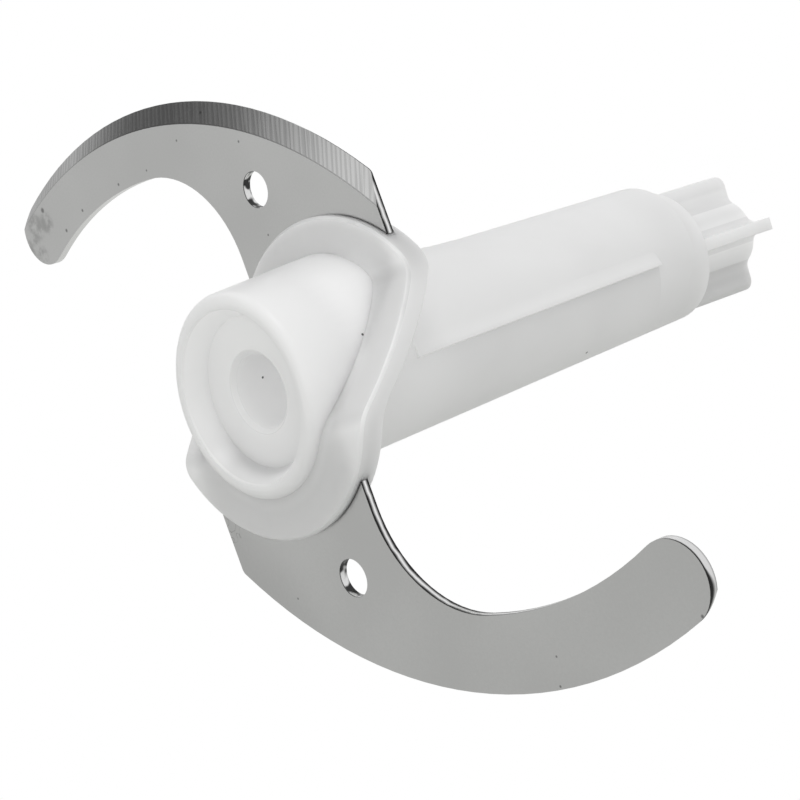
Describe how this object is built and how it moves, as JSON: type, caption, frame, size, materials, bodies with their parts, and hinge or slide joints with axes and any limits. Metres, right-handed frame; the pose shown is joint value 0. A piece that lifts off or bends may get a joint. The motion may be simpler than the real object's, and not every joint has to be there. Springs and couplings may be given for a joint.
{
  "type": "hand blender blade",
  "caption": "S-shaped chopper blade on a tall plastic hub: curved ground arms on two levels, a cup with a pin bore below and a lobed drive end on top.",
  "frame": {"origin": "centre of the cup's rim, in the plane that the part stands on", "axes": "+Z along the pin bore, up the stem to the drive end; +X towards the root of the upper arm, which sweeps round to -Y"},
  "size_m": [0.0578, 0.0822, 0.0644],
  "materials": {
    "hub": "natural white injection-moulded plastic with a satin skin",
    "blade": "satin stainless steel sheet with a ground cutting edge"
  },
  "bodies": {
    "root": {"hub": "hub", "blade": "blade"}
  },
  "joints": []
}
